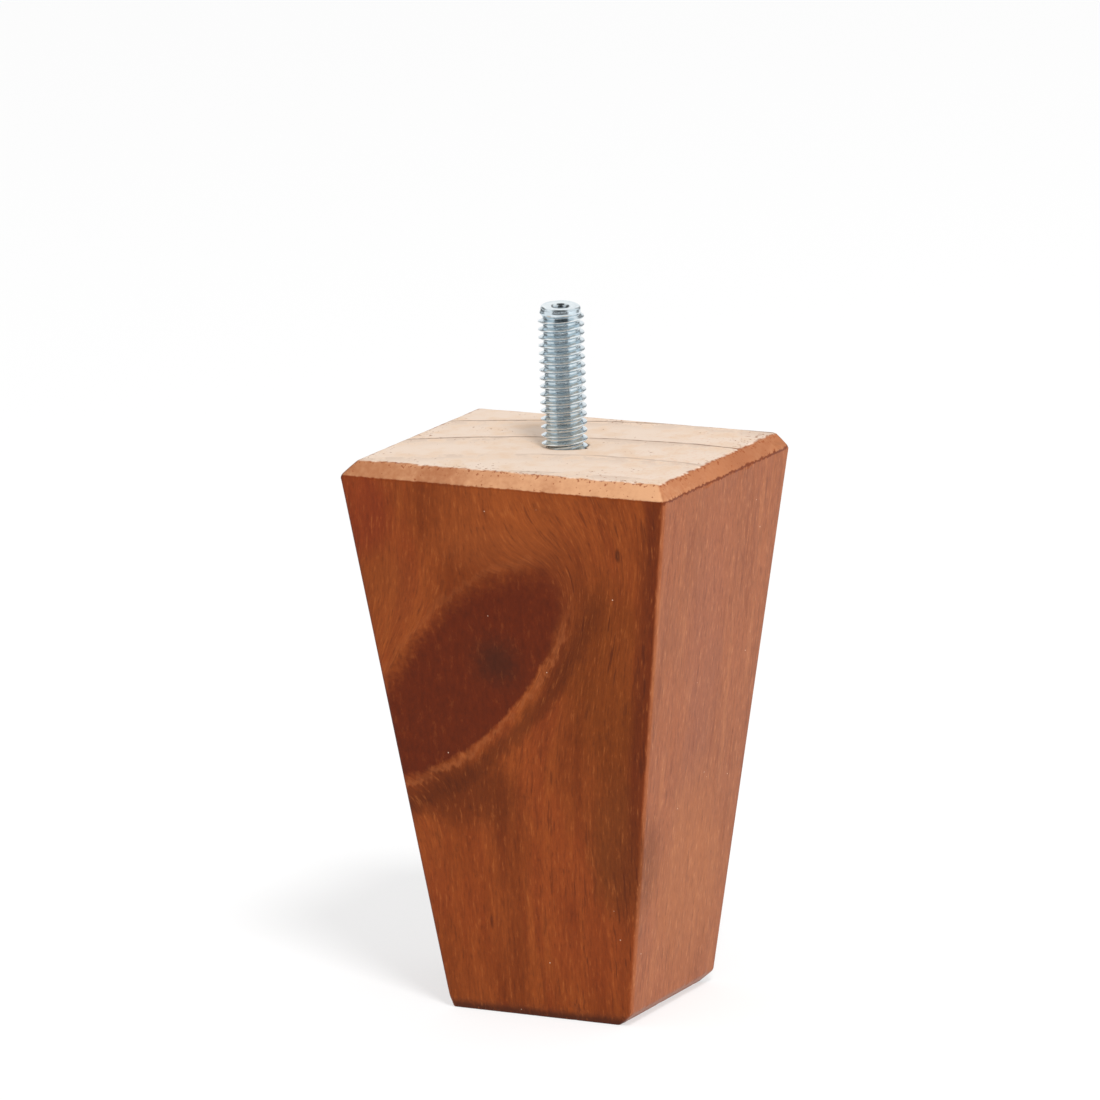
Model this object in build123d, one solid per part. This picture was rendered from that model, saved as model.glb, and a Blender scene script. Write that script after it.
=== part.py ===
from build123d import *
import os

# A tapered wooden furniture leg with a hanger bolt in its top.
# Millimetres, +Z up. The origin is the middle of the foot, on the floor.
# The front is -Y and the left is -X. Front and back are the wider pair of faces.

# The block of wood. Its widest section lies at the lower edge of the top chamfer.
block_height = 96.7
widest_width = 62.0
widest_depth = 47.0
foot_width = 34.8
foot_depth = 30.9
arris_radius = 0.7

# The chamfer round the bare top was sanded by hand, so each side is set back by its own amount.
top_chamfer_height = 2.5
top_chamfer_left = 2.7
top_chamfer_right = 1.8
top_chamfer_front = 2.0
top_chamfer_back = 1.6

# The edge round the foot is eased too, most on the right.
foot_chamfer_height = 2.2
foot_chamfer_left = 0.3
foot_chamfer_right = 2.3
foot_chamfer_front = 0.4
foot_chamfer_back = 0.5

# The hanger bolt, with the machine thread's major diameter at its crests.
stud_diameter = 7.9
stud_length = 24.7
stud_end_chamfer = 0.9
dimple_radius = 1.7
dimple_floor_radius = 0.8
dimple_depth = 0.55

# What is hidden in the wood: the machine thread's end, a plain shank, then a coarse thread with a point.
thread_runout = 0.45
shank_diameter = 7.0
shank_length = 5.0
neck_height = 1.0
wood_thread_length = 20.6
wood_core_diameter = 5.6
wood_thread_depth = 0.95
wood_thread_pitch = 2.82
wood_thread_root_width = 1.5
wood_thread_tip_width = 0.25
wood_thread_root_depth = 0.25
point_length = 6.0
point_radius = 0.35
thread_inner_radius = 1.0
thread_start_turn = 37.0
thread_tip_room = 0.25
trim_margin = 0.6

# The hole is cut by the bolt itself, opened at its mouth, with the drill's tip below the point.
mouth_clearance = 0.25
mouth_depth = 0.7
drill_room = 2.5

shoulder = block_height - top_chamfer_height
bolt_top = block_height + stud_length
neck_top = block_height - shank_length
core_top = neck_top - neck_height
point_tip = core_top - wood_thread_length
point_base = point_tip + point_length
core_radius = wood_core_diameter / 2
shank_radius = shank_diameter / 2
stud_radius = stud_diameter / 2


def half_at(widest, at_foot, height):
    """Half of the block's breadth at a height, going by its plain taper."""
    return (at_foot + (widest - at_foot) * height / shoulder) / 2


def tapered_view(widest, at_foot):
    """One view of the plain tapered block, before its chamfers."""
    low = half_at(widest, at_foot, 0)
    high = half_at(widest, at_foot, block_height)
    return Polyline((-low, 0), (-high, block_height), (high, block_height), (low, 0), close=True)


def chamfered_view(widest, at_foot, low_side, high_side):
    """The same view with its chamfers. Each side is a pair: its setback at the foot and at the top."""
    low_edge = half_at(widest, at_foot, foot_chamfer_height)
    return Polyline(
        (low_side[0] - at_foot / 2, 0),
        (-low_edge, foot_chamfer_height),
        (-widest / 2, shoulder),
        (low_side[1] - widest / 2, block_height),
        (widest / 2 - high_side[1], block_height),
        (widest / 2, shoulder),
        (low_edge, foot_chamfer_height),
        (at_foot / 2 - high_side[0], 0),
        close=True,
    )


def carried(front_view, side_view):
    """The solid that has both views: one carried back, the other carried across."""
    carried_back = extrude(Plane.XZ * make_face(front_view), amount=widest_depth, both=True)
    return carried_back & extrude(Plane.YZ * make_face(side_view), amount=widest_width, both=True)


def block_blank():
    """The block before drilling: tapered, rounded along its four arrises, then chamfered."""
    taper = carried(tapered_view(widest_width, foot_width), tapered_view(widest_depth, foot_depth))
    arrises = taper.edges().filter_by(lambda edge: abs((edge @ 1 - edge @ 0).Z) > block_height / 2)
    chamfers = carried(
        chamfered_view(
            widest_width, foot_width,
            (foot_chamfer_left, top_chamfer_left), (foot_chamfer_right, top_chamfer_right),
        ),
        chamfered_view(
            widest_depth, foot_depth,
            (foot_chamfer_front, top_chamfer_front), (foot_chamfer_back, top_chamfer_back),
        ),
    )
    return fillet(arrises, arris_radius) & chamfers


def bolt_outline():
    """Half of the bolt's lengthwise section, from its point to the dimple in its end."""
    line = Polyline(
        (0, point_tip),
        (point_radius, point_tip),
        (core_radius, point_base),
        (core_radius, core_top),
        (shank_radius, neck_top),
        (shank_radius, block_height - thread_runout),
        (stud_radius, block_height),
        (stud_radius, bolt_top - stud_end_chamfer),
        (stud_radius - stud_end_chamfer, bolt_top),
        (dimple_radius, bolt_top),
        (dimple_floor_radius, bolt_top - dimple_depth),
        (0, bolt_top - dimple_depth),
        close=True,
    )
    return make_face(line)


def bolt_blank():
    """The bolt without its wood thread."""
    return revolve(Plane.XZ * bolt_outline(), Axis.Z)


def thread_envelope():
    """The space that the wood thread may fill: it narrows to the point and is open above."""
    reach = core_radius + wood_thread_depth + trim_margin
    rise = (reach - point_radius) * point_length / core_radius
    outline = Polyline(
        (0, point_tip),
        (point_radius + thread_tip_room, point_tip),
        (reach, point_tip + rise),
        (reach, neck_top),
        (0, neck_top),
        close=True,
    )
    return revolve(Plane.XZ * make_face(outline), Axis.Z)


def wood_thread():
    """The coarse helical ridge that cuts into the wood, from the point up to the neck."""
    first_turn = point_tip + point_radius + wood_thread_root_width
    climb = core_top - wood_thread_root_width - first_turn
    path = Pos(0, 0, first_turn) * Rot(0, 0, thread_start_turn) * Helix(
        wood_thread_pitch, climb, core_radius
    )
    begin = path @ 0
    start = Plane(origin=begin, x_dir=Vector(begin.X, begin.Y, 0), z_dir=path % 0)
    ridge = Polyline(
        (thread_inner_radius - core_radius, -wood_thread_root_width / 2),
        (-wood_thread_root_depth, -wood_thread_root_width / 2),
        (wood_thread_depth, -wood_thread_tip_width / 2),
        (wood_thread_depth, wood_thread_tip_width / 2),
        (-wood_thread_root_depth, wood_thread_root_width / 2),
        (thread_inner_radius - core_radius, wood_thread_root_width / 2),
        close=True,
    )
    return sweep(start * make_face(ridge), path=path, is_frenet=True)


def hanger_bolt():
    """The whole bolt, point down."""
    return bolt_blank() + (wood_thread() & thread_envelope())


def leg_block(bolt):
    """The block with the bolt's own shape cut from it, the hole's mouth and the drill's tip."""
    drill = Pos(0, 0, point_tip - drill_room / 2) * Cylinder(point_radius, drill_room)
    mouth_radius = stud_radius + mouth_clearance
    mouth = Pos(0, 0, block_height - mouth_depth / 2) * Cone(shank_radius, mouth_radius, mouth_depth)
    return block_blank() - bolt - drill - mouth


os.makedirs("parts", exist_ok=True)
bolt = hanger_bolt()
export_step(bolt, "parts/hanger_bolt.step")
export_step(leg_block(bolt), "parts/leg_block.step")
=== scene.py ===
import bpy
import numpy as np
from mathutils import Matrix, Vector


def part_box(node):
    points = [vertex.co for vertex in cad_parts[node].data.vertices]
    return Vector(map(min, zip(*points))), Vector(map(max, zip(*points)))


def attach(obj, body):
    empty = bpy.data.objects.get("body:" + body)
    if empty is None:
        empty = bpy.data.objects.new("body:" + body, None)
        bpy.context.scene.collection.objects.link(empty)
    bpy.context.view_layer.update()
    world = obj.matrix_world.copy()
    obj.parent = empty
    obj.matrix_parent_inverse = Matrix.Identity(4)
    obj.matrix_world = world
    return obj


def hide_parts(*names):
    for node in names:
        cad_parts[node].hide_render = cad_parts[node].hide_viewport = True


# A stained wooden furniture leg with a zinc-plated hanger bolt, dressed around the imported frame.
# Lengths are in millimetres until a mesh is written, and every surface reads its place in millimetres.
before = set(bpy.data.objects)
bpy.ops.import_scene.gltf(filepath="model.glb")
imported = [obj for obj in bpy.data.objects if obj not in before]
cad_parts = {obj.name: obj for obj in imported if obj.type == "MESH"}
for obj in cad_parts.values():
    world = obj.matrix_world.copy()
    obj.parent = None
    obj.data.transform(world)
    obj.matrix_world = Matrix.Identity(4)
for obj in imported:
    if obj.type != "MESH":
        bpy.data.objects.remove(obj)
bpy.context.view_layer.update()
metre = 0.001
blockHigh = np.array(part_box("leg_block")[1]) / metre
boltLow, boltHigh = (np.array(corner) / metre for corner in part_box("hanger_bolt"))
bpy.context.scene.view_settings.view_transform = "Standard"
print("frame: block", blockHigh.round(2), "bolt end", boltHigh.round(2))


def surface(name, rows, startPole, endPole):
    # Quads join each closed row of points to the next one, and a fan to a single point closes each end.
    count, around = rows.shape[:2]
    index = np.arange(count * around).reshape(count, around)
    onward = np.roll(index, -1, axis=1)
    quads = np.stack([index[:-1], onward[:-1], onward[1:], index[1:]], axis=-1).reshape(-1, 4)
    startPoint = np.full(around, count * around)
    startFan = np.stack([startPoint, onward[0], index[0]], axis=-1)
    endFan = np.stack([index[-1], onward[-1], startPoint + 1], axis=-1)
    points = np.concatenate([rows.reshape(-1, 3), [startPole], [endPole]]) * metre
    corners = np.concatenate([quads.ravel(), startFan.ravel(), endFan.ravel()])
    sizes = np.concatenate([np.full(len(quads), 4), np.full(2 * around, 3)])
    mesh = bpy.data.meshes.new(name)
    mesh.vertices.add(len(points))
    mesh.vertices.foreach_set("co", points.ravel())
    mesh.loops.add(len(corners))
    mesh.loops.foreach_set("vertex_index", corners.astype(np.int32))
    mesh.polygons.add(len(sizes))
    mesh.polygons.foreach_set("loop_start", (np.cumsum(sizes) - sizes).astype(np.int32))
    mesh.update(calc_edges=True)
    mesh.shade_smooth()
    piece = bpy.data.objects.new(name, mesh)
    bpy.context.scene.collection.objects.link(piece)
    print(name, "has", len(points), "points and", (sizes - 2).sum(), "triangles")
    return piece


def smooth(low, high, value):
    # 0 below low, 1 above high, and 3t^2 - 2t^3 between them.
    share = np.clip((value - low) / (high - low), 0, 1)
    return share * share * (3 - 2 * share)


def uneven(turn, seed, coarsest, finest):
    # A closed random wave round the piece: sine waves of whole numbers of periods, about 1 high.
    dice = np.random.default_rng(seed)
    periods = np.arange(coarsest, finest + 1)
    heights = dice.normal(size=len(periods)) / np.sqrt(periods)
    phases = dice.uniform(0, 2 * np.pi, len(periods))
    waves = np.sin(2 * np.pi * turn[..., None] * periods + phases) @ heights
    return waves / np.sqrt((heights ** 2).sum() / 2)


bolt = {
    "pitch": 1.411,             # 18 threads to the inch
    "threadDepth": 0.88,
    "crestShare": 0.09,         # the crest's flat, as a share of the pitch
    "rootShare": 0.26,          # the root's, the same
    "threadTurn": -0.147,       # where the helix stands against the top face, in turns
    "blankRadius": 3.42,        # of the rolled end before the first thread
    "firstThread": 0.95,        # below the end
    "ridgeRise": 0.62,          # climb of the helix over which the first thread grows
    "valleyRise": 1.3,          # height over which the first valley deepens
    "flankRound": 0.35,         # share of roundness in the flanks, which are straight otherwise
    "endRound": 0.42,
    "endSlant": (-0.06, 0.047),
    "slantDepth": 1.5,          # depth below the end over which its slant fades
    "endDrop": 0.31,            # keeps the slanted end inside the frame
    "nickHeight": 0.03,
    "nickWaves": (5, 2, 9),     # their seed, and the fewest and the most periods in a turn
    "nickRadius": 1.0,          # where the nicks have faded out
    "dishRadius": 2.6,
    "dishDepth": 0.10,
    "dimpleRadius": 1.75,
    "dimpleFloor": 0.9,
    "dimpleDepth": 0.6,
    "runout": 0.45,
    "shankRadius": 3.5,
    "shankLength": 5.0,
    "neckHeight": 1.0,
    "coreRadius": 2.8,
    "woodPitch": 2.82,          # of the coarse thread in the wood
    "woodDepth": 0.95,
    "woodRootHalf": 0.75,       # half of its ridge's breadth at the root
    "woodTipHalf": 0.125,       # and at the crest
    "woodStartTurn": 37 / 360,
    "pointLength": 6.0,
    "pointRadius": 0.35,
    "tipMargin": 0.25,          # how far the ridge may stand out at the tip
    "tipSlope": 0.4375,         # and how fast that grows with height
    "around": 120,
    "rowsPerPitch": 22,
    "closeFrom": 1.0,           # the close rows start this far below the top face
    "hiddenRow": 0.2,           # between rows in the wood
    "bendRows": 7,
    "dishRows": 26,
    "poleRadius": 0.1,          # of the last row of the end
}
majorRadius = (boltHigh[0] - boltLow[0]) / 2
topFace = blockHigh[2]
neckTop = topFace - bolt["shankLength"]
coreTop = neckTop - bolt["neckHeight"]
pointTip = boltLow[2]
stubEnd = boltHigh[2] - bolt["endDrop"]


def machineThread(height, angle):
    # Radius of the stud: a right-hand helix whose flanks rise almost straight from root to crest. The valley
    # deepens with depth below the end, and the ridge grows along the helix.
    turns = (height - topFace) / bolt["pitch"] - angle / (2 * np.pi) - bolt["threadTurn"]
    aside = turns - np.round(turns)
    rise = (1 - bolt["rootShare"] - 2 * np.abs(aside)) / (1 - bolt["rootShare"] - bolt["crestShare"])
    rise = smooth(0, 1, rise) * bolt["flankRound"] + np.clip(rise, 0, 1) * (1 - bolt["flankRound"])
    start = stubEnd - bolt["firstThread"]
    deepened = smooth(0, bolt["valleyRise"], start - height)
    grown = smooth(0, bolt["ridgeRise"], start - (height - aside * bolt["pitch"]))
    valley = bolt["blankRadius"] + (majorRadius - bolt["threadDepth"] - bolt["blankRadius"]) * deepened
    return valley + (majorRadius - valley) * rise * grown


def hiddenForm(height, angle):
    # Radius in the wood: shank, neck, core and point, with a helical ridge cut off by the point's cone.
    plain = np.interp(
        height,
        [pointTip, pointTip + bolt["pointLength"], coreTop, neckTop],
        [bolt["pointRadius"], bolt["coreRadius"], bolt["coreRadius"], bolt["shankRadius"]],
    )
    firstTurn = pointTip + bolt["pointRadius"] + 2 * bolt["woodRootHalf"]
    lastTurn = coreTop - 2 * bolt["woodRootHalf"]
    turns = (height - firstTurn) / bolt["woodPitch"] - angle / (2 * np.pi) + bolt["woodStartTurn"]
    aside = (turns - np.round(turns)) * bolt["woodPitch"]
    ridge = (bolt["woodRootHalf"] - np.abs(aside)) / (bolt["woodRootHalf"] - bolt["woodTipHalf"])
    middle = height - aside
    present = (middle > firstTurn) & (middle < lastTurn)
    ridged = bolt["coreRadius"] + bolt["woodDepth"] * np.clip(ridge, 0, 1) * present
    envelope = bolt["pointRadius"] + bolt["tipMargin"] + (height - pointTip) * bolt["tipSlope"]
    return np.where(ridge * present > 0, np.maximum(plain, np.minimum(ridged, envelope)), plain)


def boltRadius(height, angle):
    # The machine thread fades into the hidden form over the run-out below the top face.
    inWood = smooth(0, 2 * bolt["runout"], topFace - height)
    return machineThread(height, angle) * (1 - inWood) + hiddenForm(height, angle) * inWood


def makeBolt():
    # Rows of points round the axis, each at the radius that its height and angle give.
    closeFrom = topFace - bolt["closeFrom"]
    hidden = np.arange(pointTip, closeFrom, bolt["hiddenRow"])
    endBase = stubEnd - bolt["endRound"]
    shown = np.arange(closeFrom, endBase, bolt["pitch"] / bolt["rowsPerPitch"])
    heights = np.concatenate([hidden, shown])[:, None]
    angles = np.linspace(0, 2 * np.pi, bolt["around"], endpoint=False)[None, :]
    radii = boltRadius(heights, angles)
    bend = np.linspace(0, np.pi / 2, bolt["bendRows"])[:, None]
    lip = bolt["blankRadius"] - bolt["endRound"]
    inwards = np.linspace(lip, bolt["poleRadius"], bolt["dishRows"])[1:, None]
    endRadii = np.concatenate([lip + bolt["endRound"] * np.cos(bend), inwards])
    endHeights = np.full((len(endRadii), 1), stubEnd)
    endHeights[:len(bend)] = endBase + bolt["endRound"] * np.sin(bend)
    endHeights -= bolt["dishDepth"] * smooth(lip, bolt["dishRadius"], endRadii)
    endHeights -= bolt["dimpleDepth"] * smooth(bolt["dimpleRadius"], bolt["dimpleFloor"], endRadii)
    nicks = uneven(angles / (2 * np.pi), *bolt["nickWaves"]) * smooth(bolt["nickRadius"], lip, endRadii)
    nicks = nicks * bolt["nickHeight"]
    allRadii = np.concatenate([radii, endRadii * np.ones_like(angles)])
    allHeights = np.concatenate([heights * np.ones_like(angles), endHeights + nicks])
    x, y = allRadii * np.cos(angles), allRadii * np.sin(angles)
    slant = smooth(bolt["slantDepth"], 0, stubEnd - allHeights)
    allHeights = allHeights + slant * (x * bolt["endSlant"][0] + y * bolt["endSlant"][1])
    rows = np.stack([x, y, allHeights], axis=-1)
    return surface("hangerBolt", rows, (0, 0, pointTip), (0, 0, allHeights[-1].mean()))


block = {
    "footWidth": 34.8,
    "footDepth": 30.9,
    "shoulder": 2.5,                                  # height of the chamfer round the top
    "topSet": {"right": 1.8, "back": 1.6, "left": 2.7, "front": 2.0},
    "footRise": 2.2,                                  # height of the chamfer round the foot
    "footSet": {"right": 2.3, "back": 0.5, "left": 0.3, "front": 0.4},
    "inset": 1.5,                                     # how far in the first and the last station lie
    "softness": (0.3, 0.5, 0.45, 0.4),                # how far each edge of the profile is rounded
    "arris": (0.4, 0.5, 0.7, 0.7, 0.5, 0.4),          # corner radius from foot to top
    "runRows": (4, 4, 92, 8, 4),                      # rows of each straight run, from foot to top
    "sideRun": 3,                                     # the run that is the side
    "sideCrowding": 0.3,                              # how much closer its rows stand at its ends
    "edgeRows": 8,
    "cornerPoints": 7,
    "widePoints": 74,
    "narrowPoints": 56,
    # Waves are a seed, and the fewest and the most periods round the piece.
    "edgeWave": 0.09,                                 # how far the chamfer's lower edge wanders
    "rightWave": 0.16,                                # added on the right, which is sanded less evenly
    "rightFrom": 0.85,                                # where the right starts, as a share of the reach
    "edgeWaves": (11, 4, 60),
    "edgeWear": 0.10,
    "wearFrom": 0.9,                                  # the part of the wave that isn't worn
    "wearPeriods": (9, 90),
    # Reach of the wear and its seed, at the shoulder, the top, the foot's chamfer and the foot.
    "wornEdges": ((0.9, 31), (0.8, 32), (0.8, 33), (0.5, 34)),
    "underRings": (0.2, 0.45, 0.7, 0.88),             # rings under the foot, as shares of its outer one
    "topRows": 40,
    "topCrowding": 0.4,                               # how much closer they stand at the rim and the hole
    "mouthGap": 0.10,
    "mouthDepth": 0.7,
    "mouthRows": 9,
    "lipDrops": (0.04, 0.05),                         # depth of the first row, and where the gap narrows
    "holeFrom": 0.85,                                 # depth of the first row below the mouth
    "holeRow": 0.24,                                  # between rows in the hole
    "lipRough": 0.03,                                 # how far the lip is rough between the tears
    "lipWaves": (31, 2, 16),
    "tears": ((-8, 0.75, 8), (-25, 0.35, 5), (-140, 0.35, 9), (150, 0.2, 14)),   # direction, reach, spread
    "drillRadius": 0.35,
    "drillStep": 0.05,                                # depth of a row just below the bolt's point
    "drillRoom": 2.5,
    "seatGap": 0.004,                                 # between the bolt and the wood
}
sides = ("right", "back", "left", "front")


def blockProfile():
    # Rows of height and four reaches, from under the foot to the top: straight runs whose corners are
    # cut by quadratic curves. Each reach is the distance of one side from the axis.
    halfWidth, halfDepth = blockHigh[0], blockHigh[1]
    widest = np.array([halfWidth, halfDepth, halfWidth, halfDepth])
    foot = np.array([block["footWidth"], block["footDepth"]] * 2) / 2
    shoulder = topFace - block["shoulder"]
    low = foot + (widest - foot) * block["footRise"] / shoulder
    footEdge = foot - [block["footSet"][side] for side in sides]
    topEdge = widest - [block["topSet"][side] for side in sides]
    stations = np.array([
        [0, *(footEdge - block["inset"])],
        [0, *footEdge],
        [block["footRise"], *low],
        [shoulder, *widest],
        [topFace, *topEdge],
        [topFace, *(topEdge - block["inset"])],
    ])
    stations = np.column_stack([stations, block["arris"]])
    crowding = block["sideCrowding"]
    runs = block["runRows"]
    rows = []
    start = stations[0]
    for i, soft in enumerate(block["softness"], start=1):
        corner = stations[i]
        before, after = stations[i - 1] - corner, stations[i + 1] - corner
        enter = corner + before * soft / np.abs(before).max()
        leave = corner + after * soft / np.abs(after).max()
        share = np.linspace(0, 1, runs[i - 1] + 1)[:-1, None]
        if i == block["sideRun"]:
            share = share * (1 - crowding) + crowding * (0.5 - 0.5 * np.cos(np.pi * share))
        rows.append(start + (enter - start) * share)
        share = np.linspace(0, 1, block["edgeRows"] + 1)[:-1, None]
        rows.append((1 - share) ** 2 * enter + 2 * share * (1 - share) * corner + share ** 2 * leave)
        start = leave
    rows.append(start + (stations[-1] - start) * np.linspace(0, 1, runs[-1] + 1)[:, None])
    return np.concatenate(rows)


def roundedRows(profile):
    # Each row is a rectangle with rounded corners: quarter circles joined by evenly divided straight runs.
    height, right, back, left, front, radius = (profile[:, [i]] for i in range(6))
    quarter = np.linspace(0, np.pi / 2, block["cornerPoints"])
    arcs = []
    for reachX, reachY, startAngle in (
        (right, -front, -np.pi / 2), (right, back, 0), (-left, back, np.pi / 2), (-left, -front, np.pi)
    ):
        middleX, middleY = reachX - np.sign(reachX) * radius, reachY - np.sign(reachY) * radius
        angle = startAngle + quarter
        arcs.append(np.stack([middleX + radius * np.cos(angle), middleY + radius * np.sin(angle)], axis=-1))
    parts = []
    for i, count in enumerate((block["narrowPoints"], block["widePoints"]) * 2):
        share = np.linspace(0, 1, count + 2)[1:-1, None]
        start, end = arcs[i][:, -1:], arcs[(i + 1) % 4][:, :1]
        parts += [arcs[i], start + (end - start) * share]
    flat = np.concatenate(parts, axis=1)
    return np.concatenate([flat, np.broadcast_to(height[..., None], flat.shape[:2] + (1,))], axis=-1)


def wearEdges(rows):
    # The chamfer's lower edge wanders up and down, and every edge is worn inwards here and there. Both fade
    # with the distance from the edge, as a bell curve.
    turn = np.linspace(0, 1, rows.shape[1], endpoint=False)
    height, fromAxis = rows[..., 2], np.linalg.norm(rows[..., :2], axis=-1)
    shoulder = topFace - block["shoulder"]
    worn = rows.copy()
    onRight = smooth(block["rightFrom"], 1.0, rows[..., 0] / rows[..., 0].max(axis=1, keepdims=True))
    lift = (block["edgeWave"] + block["rightWave"] * onRight) * uneven(turn, *block["edgeWaves"])
    levels = (shoulder, topFace, block["footRise"], 0)
    for level, (reach, seed) in zip(levels, block["wornEdges"]):
        near = np.exp(-((height - level) / reach) ** 2)
        wear = np.clip(uneven(turn, seed, *block["wearPeriods"]) - block["wearFrom"], 0, 2)
        worn[..., :2] *= (1 - block["edgeWear"] * wear * near / fromAxis)[..., None]
        if level == shoulder:
            worn[..., 2] += lift * near
    return worn


def tornLip(angle):
    # How far the hole's lip is torn outwards: a bell curve round each direction, over a small random wave.
    reach = block["lipRough"] * np.clip(uneven(angle / (2 * np.pi), *block["lipWaves"]), 0, 3)
    for direction, height, spread in block["tears"]:
        aside = np.angle(np.exp(1j * (angle - np.radians(direction))))
        reach = reach + height * np.exp(-(aside / np.radians(spread)) ** 2)
    return reach


def makeBlock():
    # One closed skin: under the foot, up the sides, over the top, through the mouth and down the bolt's hole.
    outer = wearEdges(roundedRows(blockProfile()))
    under = outer[:1] * np.array(block["underRings"])[:, None, None]
    rim = outer[-1]
    angle = np.arctan2(rim[:, 1], rim[:, 0])
    lipGap = block["mouthGap"] + tornLip(angle)
    lipRadius = boltRadius(np.full_like(angle, topFace), angle) + lipGap
    circle = lipRadius[:, None] * np.stack([np.cos(angle), np.sin(angle)], axis=-1)
    share, crowding = np.linspace(0, 1, block["topRows"])[1:], block["topCrowding"]
    share = (share * (1 - crowding) + crowding * smooth(0, 1, share))[:, None, None]
    flat = rim[None, :, :2] * (1 - share) + circle[None] * share
    top = np.concatenate([flat, np.full(flat.shape[:2] + (1,), topFace)], axis=-1)
    firstDrop, narrowFrom = block["lipDrops"]
    down = np.concatenate([
        np.linspace(firstDrop, block["mouthDepth"], block["mouthRows"]),
        np.arange(block["holeFrom"], topFace - pointTip, block["holeRow"]),
    ])[:, None]
    heights = topFace - down
    gap = block["seatGap"] + lipGap * smooth(block["mouthDepth"], narrowFrom, down)
    radii = boltRadius(heights, angle[None]) + gap
    drillHeights = pointTip - np.array([[0], [block["drillStep"]], [block["drillRoom"]]])
    radii = np.concatenate([radii, np.full((len(drillHeights), len(angle)), block["drillRadius"])])
    heights = np.concatenate([heights, drillHeights]) * np.ones((1, len(angle)))
    hole = np.stack([radii * np.cos(angle), radii * np.sin(angle), heights], axis=-1)
    rows = np.concatenate([under, outer, top, hole])
    return surface("legBlock", rows, (0, 0, 0), (0, 0, pointTip - block["drillRoom"]))


class Wire:
    # A shader socket: arithmetic on it adds Math nodes.
    def __init__(self, shader, socket):
        self.shader, self.socket = shader, socket

    def math(self, operation, *values):
        return self.shader.add("ShaderNodeMath", {"operation": operation}, dict(enumerate(values)))

    def __add__(self, other):
        return self.math("ADD", self, other)

    def __sub__(self, other):
        return self.math("SUBTRACT", self, other)

    def __rsub__(self, other):
        return self.math("SUBTRACT", other, self)

    def __mul__(self, other):
        return self.math("MULTIPLY", self, other)

    def __truediv__(self, other):
        return self.math("DIVIDE", self, other)

    def __rtruediv__(self, other):
        return self.math("DIVIDE", other, self)

    def __pow__(self, other):
        return self.math("POWER", self, other)

    def __abs__(self):
        return self.math("ABSOLUTE", self)

    def least(self, other):
        return self.math("MINIMUM", self, other)

    def most(self, other):
        return self.math("MAXIMUM", self, other)

    __radd__ = __add__
    __rmul__ = __mul__


def tone(code):
    # A screen colour as six hexadecimal digits, turned into the linear values that a shader takes.
    screen = np.array([int(code[i:i + 2], 16) for i in (0, 2, 4)]) / 255
    linear = np.where(screen <= 0.04045, screen / 12.92, ((screen + 0.055) / 1.055) ** 2.4)
    return (*linear, 1.0)


class Shader:
    # The nodes of one material. add() makes any node from its type, its settings and its sockets.
    def __init__(self, owner):
        owner.use_nodes = True
        self.tree = owner.node_tree
        self.tree.nodes.clear()

    def add(self, kind, settings=None, links=None, out=0):
        node = self.tree.nodes.new(kind)
        for key, value in (settings or {}).items():
            setattr(node, key, value)
        for key, value in (links or {}).items():
            if isinstance(value, Wire):
                self.tree.links.new(value.socket, node.inputs[key])
            else:
                node.inputs[key].default_value = value
        return Wire(self, node.outputs[out]) if len(node.outputs) else node

    def vector(self, operation, links, out=0):
        return self.add("ShaderNodeVectorMath", {"operation": operation}, links, out)

    def millimetres(self):
        place = self.add("ShaderNodeTexCoord", out="Object")
        return self.vector("SCALE", {0: place, "Scale": 1 / metre})

    def parts(self, vector):
        split = self.add("ShaderNodeSeparateXYZ", links={0: vector})
        return [Wire(self, socket) for socket in split.socket.node.outputs]

    def noise(self, vector, pace, detail, roughness):
        # Random clouds between 0 and 1: pace is how many there are to a millimetre of x, y and z.
        paced = self.vector("MULTIPLY", {0: vector, 1: pace})
        links = {"Vector": paced, "Scale": 1.0, "Detail": detail, "Roughness": roughness}
        return self.add("ShaderNodeTexNoise", {}, links)

    def step(self, value, low, high):
        # 0 at low and 1 at high, with a smooth change between them.
        settings = {"interpolation_type": "SMOOTHSTEP"}
        return self.add("ShaderNodeMapRange", settings, {0: value, 1: low, 2: high})

    def mix(self, share, first, second):
        return self.add("ShaderNodeMix", {"data_type": "RGBA"}, {0: share, 6: first, 7: second}, out=2)

    def layer(self, under, share, paint):
        # A colour over another one, where share says, as strongly as the paint's own share.
        return self.mix(share * paint[1], under, tone(paint[0]))

    def paint(self, under, value, paint, mask=1.0):
        # A layer that starts where the value passes the paint's third number and is full at its fourth.
        return self.layer(under, self.step(value, *paint[2:]) * mask, paint)

    def finish(self, links, bump, distance, strength):
        # The body of the material, with a bump whose height, reach in metres and strength are given.
        relief = {"Height": bump, "Distance": distance, "Strength": strength}
        links["Normal"] = self.add("ShaderNodeBump", {}, relief)
        body = self.add("ShaderNodeBsdfPrincipled", {}, links)
        self.add("ShaderNodeOutputMaterial", {}, {"Surface": body})


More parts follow.
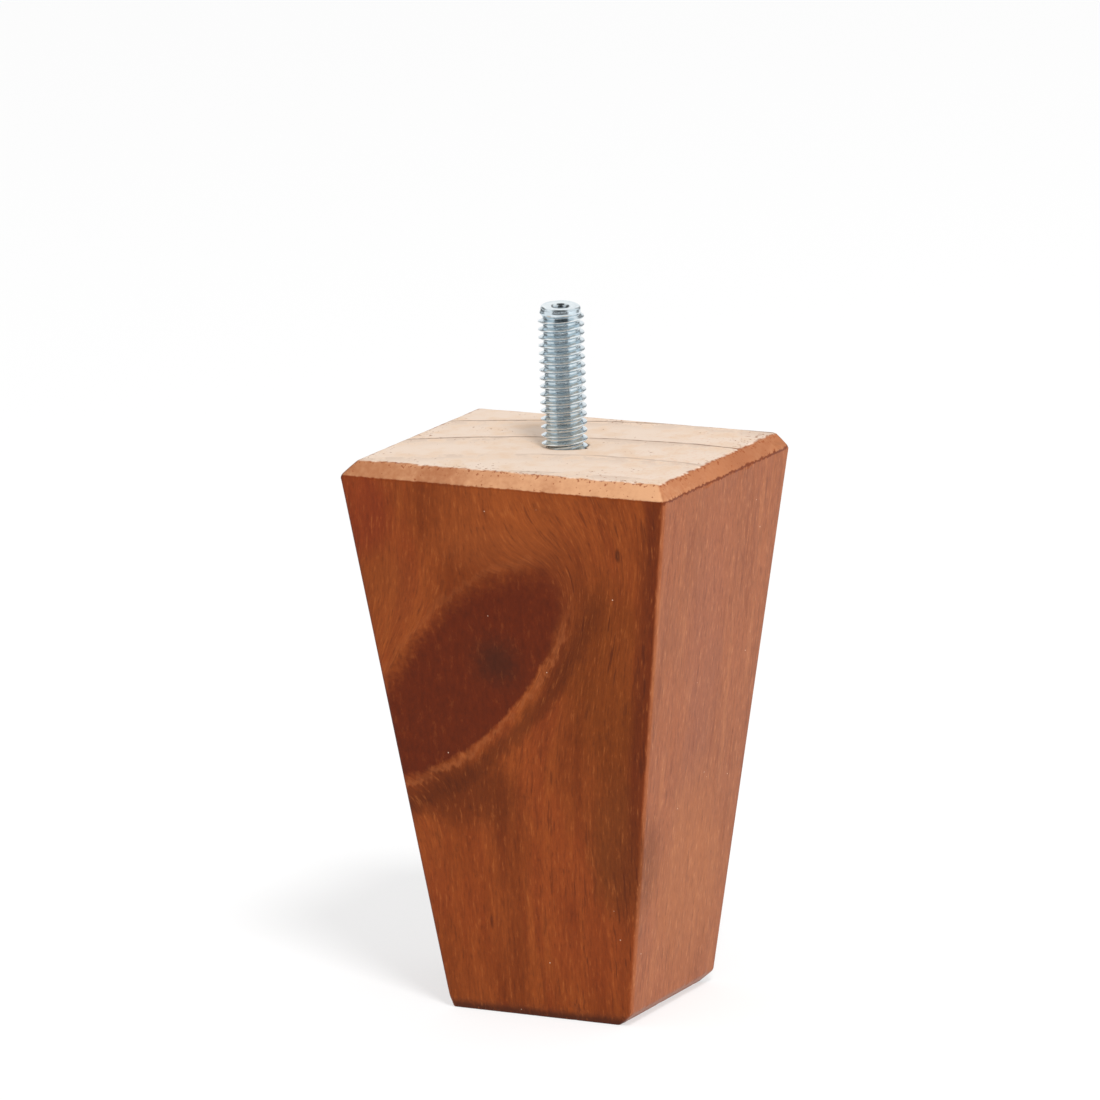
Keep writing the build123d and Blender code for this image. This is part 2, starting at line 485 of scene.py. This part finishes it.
wood = {
    # Each layer is a screen colour, and how strongly it covers what is under it. Where two more numbers
    # follow, it starts at the first and is full at the second: of a noise, or of a distance that is named.
    "stainLight": "94481A",
    "stainDark": "6C2C08",
    "redStreak": ("7C2E10", 0.35, -0.25, -0.05),
    "lateWood": ("6A2C0C", 0.14),
    # painted light and sheen: the stain in front, paler and pinker where the right face is lit
    "paintedLightRightFace": ("94593A", 0.70),
    "paleRibbon": ("A5653F", 0.40, 0.54, 0.66),
    "darkRibbon": ("763B20", 0.45, 0.46, 0.34),
    # grain strokes on the right face, in the paler tone of its painted light
    "rightStroke": ("BC8058", 0.45, 0.56, 0.74),
    "arrisShade": ("591F04", 0.75, 4.8, 2.0),           # painted shade in front, from the arris on the right
    "footShade": ("481E0A", 0.90, 2.1, 0.5),            # painted shade, from the floor
    "knot": ("591C02", 0.93),
    "knotHeart": ("3E1A0A", 0.75, 7.0, 0.5),            # from the heart
    "knotHalo": ("64280A", 0.55),
    "knotBand": ("965028", 0.62),
    "knotStreak": ("542003", 0.62),
    "paleStroke": ("A8602F", 0.38, 0.56, 0.74),
    "darkStroke": ("4A1A06", 0.30, 0.42, 0.28),
    "darkLine": ("481906", 0.55, 0.42, 0.34),
    "dust": ("E0BFA6", 0.85, 0.045, 0.02),              # from its middle
    "seam": ("5C220C", 0.75, 0.34, 0.08),               # from the chamfer's lower edge
    "chamferPore": ("84401F", 0.75, 0.67, 0.75),
    "bareWarm": ("DDBC9C", 0.50, 0.42, 0.68),
    "ringShade": ("B79C86", 0.35, 0.5, 1.0),            # of a year's growth
    "ringLine": ("8A6E5E", 0.85, 0.032, 0.010),         # from the growth line, in years
    "speck": ("8E5632", 0.75, 0.69, 0.75),
    "pinkGrain": ("D9A384", 0.24, 0.52, 0.64),
    # painted shade down the bolt's hole
    "hole": ("38271C", 1.0),
    "bare": "E4D0BF",
    "chamferPale": "CE9B74",
    "chamferDeep": "A26846",
    # Noises: how many clouds there are to a millimetre of x, y and z, their detail and their roughness.
    "broad": ((0.07, 0.07, 0.035), 3, 0.5),
    "ragged": ((1.1, 1.1, 1.1), 3, 0.5),
    "bands": ((0.42, 0.42, 0.022), 3, 0.6),
    "strokes": ((2.3, 2.3, 0.34), 3, 0.65),
    "hairs": ((4.2, 4.2, 0.8), 2, 0.5),
    "lines": ((1.5, 1.5, 0.07), 2, 0.6),
    "ribbons": ((0.3, 0.42, 0.03), 3, 0.6),
    "knotWander": ((0.16, 0.16, 0.16), 2, 0.5),
    "knotBreaks": ((0.5, 0.5, 0.5), 2, 0.5),
    "knotChatter": ((0.9, 0.9, 0.35), 3, 0.5),
    "chamferPores": ((1.7, 1.7, 1.7), 2, 0.5),
    "bareClouds": ((0.22, 0.22, 0.22), 4, 0.6),
    "lineBreaks": ((0.35, 0.35, 0.35), 2, 0.5),
    "barePores": ((1.5, 1.2, 1.5), 3, 0.6),
    "clusters": ((0.13, 0.17, 0.15), 1, 0.5),
    "soaked": ((0.3, 0.3, 0.3), 2, 0.5),
    "lacquer": ((0.5, 0.5, 0.1), 3, 0.5),
    "strokeDepth": 0.55,            # how much the fine strokes lighten and darken
    "hairDepth": 0.42,
    "dustPace": 0.3,                # cells to a millimetre that may hold a speck of dust
    "pith": (17.5, -76.9),          # the centre of the growth rings in plan
    "ringRadius": 98.7,             # of one growth line
    "ringStep": 13.2,
    "ringWobble": 2.2,
    "knotMiddle": (-9.9, -20.6, 61.0),
    "knotAxis": (-0.654, 0.458, -0.602),
    "knotRadius": 10.5,
    "heart": (-3.2, -20.8, 63.4),   # the dark middle of the knot
    # The knot's edges and rings are in knot radii.
    "knotCrisp": (1.04, 0.96),      # its edge on the lower right
    "knotSoft": (1.14, 0.72),       # and on the upper left
    "bandRing": (1.07, 0.30, 0.08, 0.01),      # radius, unevenness, half of the breadth, and of its core
    "streakRing": (1.32, 0.25, 0.24, 0.03),
    "grainSpread": 0.62,            # how far the knot pushes the grain aside
    "hairBorder": (18.2, 0.35, 76.0),          # place, width and lower end of a straight border
    "patchEdge": (1.3, 0.45),       # where a patch starts and is full, as shares of its reach
    # Soft patches of the stain: middle, reach in each direction, colour and strength.
    "patches": (
        ((-27.0, -22.0, 89.0), (6.0, 9.0, 9.0), "7A2A12", 0.55),     # reddish upper left corner
        ((3.0, -23.0, 90.0), (15.0, 8.0, 8.0), "9A4E20", 0.40),      # light wood under the chamfer
        ((-22.0, -20.0, 73.0), (7.0, 9.0, 11.0), "88441C", 0.30),
        ((-2.0, -22.0, 83.5), (12.0, 8.0, 4.0), "924A20", 0.30),     # light wood over the knot
        ((18.0, -20.0, 61.5), (7.5, 9.0, 19.0), "6A3006", 0.60),     # olive brown beside the knot
        ((-12.5, -17.0, 39.5), (15.0, 8.0, 6.5), "5C2404", 0.72),    # olive brown below it
        ((18.0, -17.0, 30.0), (7.0, 8.0, 14.0), "64300C", 0.65),     # the same, low on the right
        ((21.4, -22.5, 84.2), (0.55, 3.0, 1.3), "431804", 0.80),     # small dark smudge
        ((-8.0, -17.0, 16.5), (0.35, 3.0, 1.4), "4A1C06", 0.80),     # small dark dash
        ((-12.0, -17.0, 20.0), (6.0, 8.0, 16.0), "83380E", 0.35),
        ((29.0, -2.0, 60.0), (9.0, 8.0, 30.0), "884F39", 0.40),      # duller upper part of the right face
        ((22.0, 0.0, 18.0), (9.0, 14.0, 22.0), "9C5C34", 0.55),      # warmer lower part of it, a painted reflection: less sheen where it mirrors the floor's shadow
    ),
    # The same on the chamfer: its left end in front, a spot there, and its far end on the right.
    "chamferPatches": (
        ((-25.0, -23.0, 95.5), (9.0, 5.0, 2.0), "8E4E28", 0.32),
        ((-4.0, -23.0, 96.0), (7.0, 4.0, 1.2), "9A5A34", 0.10),
        ((31.0, 12.0, 95.5), (4.0, 10.0, 2.5), "905638", 0.50),
    ),
}


def addPatches(shader, at, under, patches):
    # Each patch is full inside an ellipsoid and fades out past an edge that wanders.
    for middle, reach, code, share in patches:
        away = shader.vector("SUBTRACT", {0: at["place"], 1: middle})
        scaled = shader.vector("MULTIPLY", {0: away, 1: [1 / size for size in reach]})
        distance = shader.vector("LENGTH", {0: scaled}, out="Value") + at["sway"] * 1.2 + at["jag"] * 0.4
        under = shader.paint(under, distance, (code, share, *wood["patchEdge"]))
    return under


def woodPlaces(shader):
    # Where a point of the block lies, and two noises round 0 that every line and border wanders by.
    place = shader.millimetres()
    x, y, z = shader.parts(place)
    at = {"place": place, "x": x, "y": y, "z": z, "shoulder": topFace - block["shoulder"]}
    taperX = (blockHigh[0] - block["footWidth"] / 2) / at["shoulder"]
    taperY = (blockHigh[1] - block["footDepth"] / 2) / at["shoulder"]
    at["fromSide"] = z * taperX + block["footWidth"] / 2 - abs(x)
    at["fromFront"] = z * taperY + block["footDepth"] / 2 - abs(y)
    inRight = blockHigh[0] - block["topSet"]["right"] - x
    inLeft = x + blockHigh[0] - block["topSet"]["left"]
    inFront = y + blockHigh[1] - block["topSet"]["front"]
    inBack = blockHigh[1] - block["topSet"]["back"] - y
    at["fromEdge"] = inRight.least(inLeft).least(inFront.least(inBack))
    at["onSide"] = shader.step(at["fromFront"] - at["fromSide"], -0.75, 0.1)
    at["onRight"] = at["onSide"] * shader.step(x, 0.0, 1.0)
    at["sway"] = shader.noise(place, *wood["broad"]) - 0.5
    at["jag"] = shader.noise(place, *wood["ragged"]) - 0.5
    return at


def knotParts(shader, at):
    # The knot is a slanting cylinder through the wood. Distances from its axis are in knot radii.
    place, middle = at["place"], wood["knotMiddle"]
    axis = tuple(np.array(wood["knotAxis"]) / np.linalg.norm(wood["knotAxis"]))
    away = shader.vector("SUBTRACT", {0: place, 1: middle})
    along = shader.vector("DOT_PRODUCT", {0: away, 1: axis}, out="Value")
    onAxis = shader.vector("SCALE", {0: axis, "Scale": along})
    across = shader.vector("SUBTRACT", {0: away, 1: onAxis})
    radius = shader.vector("LENGTH", {0: across}, out="Value") / wood["knotRadius"]
    heart = shader.vector("DISTANCE", {0: place, 1: wood["heart"]}, out="Value")
    wander = shader.noise(place, *wood["knotWander"]) - 0.5
    chatter = shader.noise(place, *wood["knotChatter"]) - 0.5
    broken = shader.step(shader.noise(place, *wood["knotBreaks"]), 0.34, 0.56)
    edge = radius + wander * 0.22 + at["jag"] * 0.07

    # Below and right of the knot its edge is crisp, with a pale ring and a dark one outside it.
    right, down = at["x"] - middle[0], middle[2] - at["z"]
    lowerRight = shader.step(right + down, -9.0, 6.0)
    slope = right * 0.62 + down * 0.78
    under = shader.step(slope, 1.0, 8.0)
    above = shader.step(slope, -4.0, -9.0)
    crisp = shader.step(edge, *wood["knotCrisp"])
    soft = shader.step(edge + at["jag"] * 0.3, *wood["knotSoft"])
    rings = [
        shader.step(abs(edge - ringRadius + chatter * unevenness), half, core)
        for ringRadius, unevenness, half, core in (wood["bandRing"], wood["streakRing"])
    ]
    halo = shader.step(edge, 1.5, 1.0) * (1 - shader.step(edge, 1.0, 0.9))
    return {
        "knot": crisp * lowerRight + soft * (1 - lowerRight),
        "knotHeart": shader.step(heart + at["jag"] * 4, *wood["knotHeart"][2:]),
        "knotHalo": halo * shader.step(at["x"], 0.0, 10.0),
        "knotBand": rings[0] * (under * (0.3 + broken * 0.7) + above * 0.35),
        "knotStreak": rings[1] * under,
        "pull": 1 / radius.most(1.0) ** 2,
    }


def stainedSides(shader, at, year):
    # Stained wood: broad tone, soft patches, the knot and its rings, then fine strokes along the grain.
    knot = knotParts(shader, at)
    x, z, onSide, onRight = at["x"], at["z"], at["onSide"], at["onRight"]
    facing = 1 - onSide
    grainX = x - (x - wood["knotMiddle"][0]) * knot["pull"] * wood["grainSpread"]
    grain = shader.add("ShaderNodeCombineXYZ", links={0: grainX, 1: at["y"], 2: z})
    bands = shader.noise(grain, *wood["bands"])
    strokes = shader.noise(grain, *wood["strokes"])
    hairs = shader.noise(grain, *wood["hairs"])
    lines = shader.noise(grain, *wood["lines"])
    ribbons = shader.noise(at["place"], *wood["ribbons"])
    at["strokes"] = strokes

    shade = (bands - 0.5) * 0.9 + at["sway"] * 1.3 + 0.5
    side = shader.mix(shader.step(shade, 0.1, 0.9), tone(wood["stainDark"]), tone(wood["stainLight"]))
    side = shader.paint(side, at["sway"] - bands * 0.4, wood["redStreak"])
    lateWood = shader.step(year, 0.80, 1.0) + shader.step(year, 0.035, 0.0)
    side = shader.layer(side, lateWood, wood["lateWood"])
    # Painted light and sheen over the whole right face.
    side = shader.layer(side, onRight, wood["paintedLightRightFace"])
    side = shader.paint(side, ribbons, wood["paleRibbon"], onSide)
    side = shader.paint(side, ribbons, wood["darkRibbon"], onSide)
    side = addPatches(shader, at, side, wood["patches"])
    borderX, borderWidth, borderEnd = wood["hairBorder"]
    border = shader.step(x + at["jag"] * 0.5, borderX, borderX + borderWidth)
    border = border * shader.step(x, borderX + 7, borderX) * shader.step(z, borderEnd - 6, borderEnd)
    side = shader.layer(side, border, wood["lateWood"])
    # Painted shade on the front beside the arris on the right, fuller higher up.
    shaded = facing * (0.4 + shader.step(z, 14.0, 50.0) * 0.6) * shader.step(x, -8.0, 8.0)
    side = shader.paint(side, at["fromSide"] + (bands - 0.5) * 2, wood["arrisShade"], shaded)
    for name in ("knot", "knotHeart", "knotHalo", "knotStreak", "knotBand"):
        side = shader.layer(side, knot[name], wood[name])
    # Painted shade along the bottom of the foot, darker towards the floor.
    side = shader.paint(side, z + at["jag"] * 0.8, wood["footShade"], facing)

    # Fine strokes, fainter on the knot and on the right, then dark lines in groups and a few specks of dust.
    lightness = 1 + (strokes - 0.5) * wood["strokeDepth"] + (hairs - 0.5) * wood["hairDepth"]
    side = shader.vector("SCALE", {0: side, "Scale": lightness})
    calm = 1 - knot["knot"] * 0.7 - onRight * 0.45
    side = shader.paint(side, strokes, wood["paleStroke"], calm * (1 - onRight))
    # The right face's strokes are grain, drawn in the paler tone of the painted light there.
    side = shader.paint(side, strokes, wood["rightStroke"], onRight)
    side = shader.paint(side, strokes, wood["darkStroke"], calm)
    grouped = shader.step(bands + at["sway"], 0.38, 0.62) * (0.3 + shader.step(x, -6.0, 10.0) * 0.7)
    side = shader.paint(side, lines, wood["darkLine"], grouped * calm)
    links = {"Vector": at["place"], "Scale": wood["dustPace"]}
    cell = shader.add("ShaderNodeTexVoronoi", {}, links, out="Distance")
    draw = shader.parts(Wire(shader, cell.socket.node.outputs["Color"]))[0]
    return shader.paint(side, cell, wood["dust"], shader.step(draw, 0.72, 0.74))


def thinChamfer(shader, at):
    # The chamfer round the top takes less stain: deeper on the left and the right, paler in front, with
    # pores that crowd at its edges.
    shade = at["sway"] * 1.6 + at["jag"] * 0.6 + 0.62
    shade = shade + at["x"] * 0.010 - at["onSide"] * 0.75
    chamfer = shader.mix(shader.step(shade, 0.0, 1.0), tone(wood["chamferDeep"]), tone(wood["chamferPale"]))
    chamfer = addPatches(shader, at, chamfer, wood["chamferPatches"])
    pores = shader.noise(at["place"], *wood["chamferPores"])
    upperEdge = shader.step(at["z"], topFace - 1.1, topFace - 0.1)
    lowerEdge = shader.step(at["z"], at["shoulder"] + 1.0, at["shoulder"])
    crowded = upperEdge * 0.13 + lowerEdge * 0.03 + at["onSide"] * 0.03
    return shader.paint(chamfer, pores + crowded, wood["chamferPore"])


def bareTop(shader, at, phase, year):
    # Bare end grain: growth lines that fade towards the front, specks and warmer clouds.
    place = at["place"]
    clouds = shader.noise(place, *wood["bareClouds"])
    breaks = shader.noise(place, *wood["lineBreaks"])
    pores = shader.noise(place, *wood["barePores"])
    clusters = shader.noise(place, *wood["clusters"]) - 0.5
    bare = shader.paint(tone(wood["bare"]), clouds, wood["bareWarm"])
    bare = shader.paint(bare, year, wood["ringShade"], shader.step(clouds, 0.55, 0.45))
    toLine = abs(phase.math("FRACT", phase + 0.5) - 0.5)
    short = shader.step(abs(at["x"] - 3.0), 8.0, 3.0) * 0.35     # the third line is faint and short
    fading = shader.step(at["y"], -7.0, -3.0).most(short)
    uneasy = 0.55 + shader.step(breaks, 0.35, 0.6) * 0.45
    bare = shader.paint(bare, toLine + at["jag"] * 0.02, wood["ringLine"], fading * uneasy)
    bare = shader.paint(bare, pores, wood["pinkGrain"], shader.step(at["x"], 2, 26))
    nearBorder = shader.step(at["fromEdge"], 5.0, 0.3)
    at["specks"] = shader.step(pores + nearBorder * 0.08 + clusters * 0.35, *wood["speck"][2:])
    return shader.layer(bare, at["specks"], wood["speck"])


def woodMaterial():
    material = bpy.data.materials.new("stainedWood")
    shader = Shader(material)
    at = woodPlaces(shader)
    shoulder, z, jag, onSide = at["shoulder"], at["z"], at["jag"], at["onSide"]

    # Growth rings: cylinders round the pith. The year runs from 0 to 1 between two lines, and ten years are
    # added so that the count stays above 0.
    planX, planY = at["x"] - wood["pith"][0], at["y"] - wood["pith"][1]
    ring = (planX * planX + planY * planY) ** 0.5 + at["sway"] * wood["ringWobble"]
    phase = (ring - wood["ringRadius"]) / wood["ringStep"] + 10
    year = phase.math("FRACT", phase)

    side = stainedSides(shader, at, year)
    chamfer = thinChamfer(shader, at)
    bare = bareTop(shader, at, phase, year)
    onChamfer = shader.step(z + jag * 0.35, shoulder - 0.08, shoulder + 0.12)
    colour = shader.mix(onChamfer, side, chamfer)
    fromSeam = abs(z - shoulder + 0.12 + jag * (0.5 + onSide * 0.8))
    colour = shader.paint(colour, fromSeam, wood["seam"], 0.35 + onSide * 0.65)
    soaked = shader.noise(at["place"], *wood["soaked"]) - 0.5
    inside = at["fromEdge"] + jag * 1.1 + soaked * 1.4
    onTop = shader.step(inside, -0.15, 0.45) * shader.step(z, topFace - 0.25, topFace - 0.1)
    colour = shader.mix(onTop, colour, bare)
    # Painted shade on the wall of the bolt's hole.
    fromAxis = (at["x"] * at["x"] + at["y"] * at["y"]) ** 0.5
    paintedHoleShade = shader.step(z, topFace - 0.05, topFace - 0.35) * shader.step(fromAxis, 7.0, 5.5)
    paintedHoleShade = paintedHoleShade * shader.step(z, pointTip - 8, pointTip - 4)
    colour = shader.layer(colour, paintedHoleShade, wood["hole"])

    cloudy = shader.noise(at["place"], *wood["lacquer"])
    links = {
        "Base Color": colour,
        "Roughness": 0.40 + cloudy * 0.14 + onTop * 0.35 + onChamfer * 0.10,
        "Coat Weight": (1 - onTop) * (0.22 - onChamfer * 0.12),
        "Coat Roughness": 0.28,
        "Coat IOR": 1.33,
        "Specular IOR Level": 0.08,
    }
    relief = at["strokes"] * 0.6 + jag * 0.3 - onTop * at["specks"] * 1.5
    shader.finish(links, bump=relief, distance=0.00010, strength=0.35)
    return material


zinc = {
    "plate": "DAE5EB",
    "plateBlue": "C8D6DE",
    "paintedRootShade": ("8A9BA0", 0.20, 0.30, 0.02),       # painted shade in the thread's roots: starts and is full so far above the root
    "paintedHighlight": ("EAF1F3", 0.70, 0.14, 0.03),      # painted highlight on the crests and the end: starts and is full so far below the crest
    # painted shade inside the cup in the end
    "paintedCupShade": ("5E6A73", 0.65),
    "clouds": ((0.9, 0.9, 0.9), 3, 0.5),          # pace, detail and roughness, as in the wood
    "fine": ((6.0, 6.0, 9.0), 2, 0.5),
    "roughness": 0.07,
}


def zincMaterial():
    material = bpy.data.materials.new("zincPlate")
    shader = Shader(material)
    place = shader.millimetres()
    x, y, z = shader.parts(place)
    radius = (x * x + y * y) ** 0.5
    clouds = shader.noise(place, *zinc["clouds"])
    fine = shader.noise(place, *zinc["fine"])
    colour = shader.mix(shader.step(clouds, 0.35, 0.65), tone(zinc["plate"]), tone(zinc["plateBlue"]))
    # Painted shade in the thread's roots, below the end.
    fromRoot = radius - (majorRadius - bolt["threadDepth"])
    colour = shader.paint(colour, fromRoot, zinc["paintedRootShade"], shader.step(z, stubEnd, stubEnd - 1.0))
    # Painted highlight along the thread's crests and over the end.
    onEnd = shader.step(z, stubEnd - 0.5, stubEnd)
    highlighted = shader.step(majorRadius - radius, *zinc["paintedHighlight"][2:]).most(onEnd)
    colour = shader.layer(colour, highlighted, zinc["paintedHighlight"])
    # Painted shade inside the cup in the end.
    inCup = shader.step(radius + (clouds - 0.5) * 1.2, bolt["dimpleRadius"], bolt["dimpleFloor"])
    colour = shader.layer(colour, inCup * shader.step(z, topFace, topFace + 1.0), zinc["paintedCupShade"])
    roughness = zinc["roughness"] + clouds * 0.10 + fine * 0.06
    links = {"Base Color": colour, "Roughness": roughness, "Metallic": 1.0}
    shader.finish(links, bump=fine + clouds, distance=0.00004, strength=0.3)
    return material


studio = {
    "azimuth": 28.230,              # the photograph's viewpoint, in degrees and millimetres
    "elevation": 13.043,
    "distance": 1651.91,
    "aimRight": -3.08,
    "aimHeight": 78.628,
    "roll": -1.834,
    "lens": 317.5,
    "keyFrom": (0.414, -0.412, 0.812),   # direction of the soft key light
    "keyAngle": 13.0,               # its apparent width in degrees, which softens the shadow
    "keyStrength": 1.41,
    "fillFrom": (0.86, -0.37, 0.35),
    "fillSize": 1000.0,
    "fillPower": 17.5,
    "lampDistance": 1500.0,
    "worldLevel": 0.55,             # brightness of the background as the leg is lit by it
    "floorHalf": 6000.0,
    "floorGlow": 0.482,             # the floor as it is seen: its glow, and the grey that takes the shadow
    "floorDiffuse": 0.50,
    "floorBounce": 0.75,            # its grey for the light that it throws on the leg
    "cardPoints": (33, 9),          # points along a card and up it
    # Dark cards that only mirrors show: distance, first and last azimuth, lowest and highest elevation,
    # brightness.
    "cards": (
        (450.0, -22.0, 72.0, 0.3, 15.0, 0.03),
        (3000.0, -22.0, 72.0, 15.0, 60.0, 0.04),
        (3000.0, -180.0, 180.0, 66.0, 89.0, 0.06),
        (450.0, 130.0, 160.0, 0.3, 15.0, 0.35),
        (3000.0, 162.0, 188.0, 1.0, 45.0, 0.30),
        (450.0, 232.0, 284.0, 0.3, 15.0, 0.15),
        (3000.0, 232.0, 284.0, 15.0, 48.0, 0.15),
    ),
}


def makeCamera():
    # The camera stands at its distance along the viewing direction and is rolled about it.
    azimuth, elevation, roll = np.radians([studio["azimuth"], studio["elevation"], studio["roll"]])
    right = np.array([np.cos(azimuth), np.sin(azimuth), 0])
    back = np.array([
        np.sin(azimuth) * np.cos(elevation), -np.cos(azimuth) * np.cos(elevation), np.sin(elevation)
    ])
    up = np.cross(back, right)
    aim = right * studio["aimRight"] + np.array([0, 0, studio["aimHeight"]])
    turned = np.eye(4)
    turned[:3, 0] = right * np.cos(roll) + up * np.sin(roll)
    turned[:3, 1] = -right * np.sin(roll) + up * np.cos(roll)
    turned[:3, 2] = back
    turned[:3, 3] = (aim + back * studio["distance"]) * metre
    data = bpy.data.cameras.new("camera")
    data.sensor_width = 36
    data.lens = studio["lens"]
    data.clip_start, data.clip_end = 0.05, 50
    camera = bpy.data.objects.new("camera", data)
    camera.matrix_world = Matrix(turned.tolist())
    bpy.context.scene.collection.objects.link(camera)
    bpy.context.scene.camera = camera


def placeLamp(data, direction):
    # A lamp along a direction from the leg, turned to look back at it. Mirrors don't show it.
    back = np.array(direction) / np.linalg.norm(direction)
    right = np.cross([0, 0, 1], back)
    right /= np.linalg.norm(right)
    turned = np.eye(4)
    turned[:3, :3] = np.column_stack([right, np.cross(back, right), back])
    turned[:3, 3] = (back * studio["lampDistance"] + [0, 0, topFace / 2]) * metre
    lamp = bpy.data.objects.new(data.name, data)
    lamp.matrix_world = Matrix(turned.tolist())
    lamp.visible_camera = False
    lamp.visible_glossy = False
    bpy.context.scene.collection.objects.link(lamp)


def seenDirectly(shader):
    # 1 for rays from the camera and for rays in mirrors and glass, 0 for the light that falls on the leg.
    path = shader.add("ShaderNodeLightPath")
    outputs = path.socket.node.outputs
    glossy = Wire(shader, outputs["Is Glossy Ray"]).most(Wire(shader, outputs["Is Transmission Ray"]))
    return Wire(shader, outputs["Is Camera Ray"]).most(glossy)


def grey(level):
    return (level, level, level, 1)


def makeFloor():
    # A wide floor that looks white, keeps the shadow, and bounces light as pale paper does.
    half = studio["floorHalf"] * metre
    corners = [(-half, -half, 0), (half, -half, 0), (half, half, 0), (-half, half, 0)]
    mesh = bpy.data.meshes.new("floor")
    mesh.from_pydata(corners, [], [(0, 1, 2, 3)])
    floor = bpy.data.objects.new("floor", mesh)
    bpy.context.scene.collection.objects.link(floor)
    material = bpy.data.materials.new("floorWhite")
    shader = Shader(material)
    matt = shader.add("ShaderNodeBsdfDiffuse", {}, {"Color": grey(studio["floorDiffuse"])})
    glow = shader.add("ShaderNodeEmission", {}, {"Color": grey(1), "Strength": studio["floorGlow"]})
    shown = shader.add("ShaderNodeAddShader", {}, {0: matt, 1: glow})
    bounce = shader.add("ShaderNodeBsdfDiffuse", {}, {"Color": grey(studio["floorBounce"])})
    both = shader.add("ShaderNodeMixShader", {}, {0: seenDirectly(shader), 1: bounce, 2: shown})
    shader.add("ShaderNodeOutputMaterial", {}, {"Surface": both})
    mesh.materials.append(material)


def makeCard(i, distance, first, last, lowest, highest, level):
    # A piece of a sphere round the leg, between two azimuths and two elevations. Only mirrors show it.
    along, upwards = studio["cardPoints"]
    azimuths, elevations = np.linspace(first, last, along), np.linspace(lowest, highest, upwards)
    turn, rise = np.meshgrid(np.radians(azimuths), np.radians(elevations))
    points = np.stack([np.sin(turn) * np.cos(rise), -np.cos(turn) * np.cos(rise), np.sin(rise)], axis=-1)
    index = np.arange(turn.size).reshape(turn.shape)
    faces = np.stack([index[:-1, :-1], index[:-1, 1:], index[1:, 1:], index[1:, :-1]], axis=-1).reshape(-1, 4)
    mesh = bpy.data.meshes.new(f"darkCard{i}")
    mesh.from_pydata((points.reshape(-1, 3) * distance * metre).tolist(), [], faces.tolist())
    card = bpy.data.objects.new(f"darkCard{i}", mesh)
    bpy.context.scene.collection.objects.link(card)
    card.visible_camera = card.visible_diffuse = card.visible_transmission = card.visible_shadow = False
    material = bpy.data.materials.new(f"darkCard{i}")
    shader = Shader(material)
    glow = shader.add("ShaderNodeEmission", {}, {"Color": grey(level), "Strength": 1.0})
    shader.add("ShaderNodeOutputMaterial", {}, {"Surface": glow})
    mesh.materials.append(material)


def makeStudio():
    # A white floor and background, a soft key and a wide fill from the right, and dark cards for the zinc.
    makeFloor()
    world = bpy.data.worlds.new("world")
    bpy.context.scene.world = world
    sky = Shader(world)
    strength = seenDirectly(sky) * (1 - studio["worldLevel"]) + studio["worldLevel"]
    glow = sky.add("ShaderNodeBackground", {}, {"Color": grey(1), "Strength": strength})
    sky.add("ShaderNodeOutputWorld", {}, {"Surface": glow})
    key = bpy.data.lights.new("keyLight", "SUN")
    key.energy = studio["keyStrength"]
    key.angle = np.radians(studio["keyAngle"])
    placeLamp(key, studio["keyFrom"])
    fill = bpy.data.lights.new("fillLight", "AREA")
    fill.shape = "SQUARE"
    fill.size = studio["fillSize"] * metre
    fill.energy = studio["fillPower"]
    fill.use_shadow = False
    placeLamp(fill, studio["fillFrom"])
    for i, card in enumerate(studio["cards"]):
        makeCard(i, *card)
    print("studio: floor, background, two lights and", len(studio["cards"]), "cards")


makeCamera()
makeStudio()

legBlock = makeBlock()
legBlock.data.materials.append(woodMaterial())
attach(legBlock, "root")
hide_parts("leg_block")

hangerBolt = makeBolt()
hangerBolt.data.materials.append(zincMaterial())
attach(hangerBolt, "root")
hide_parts("hanger_bolt")
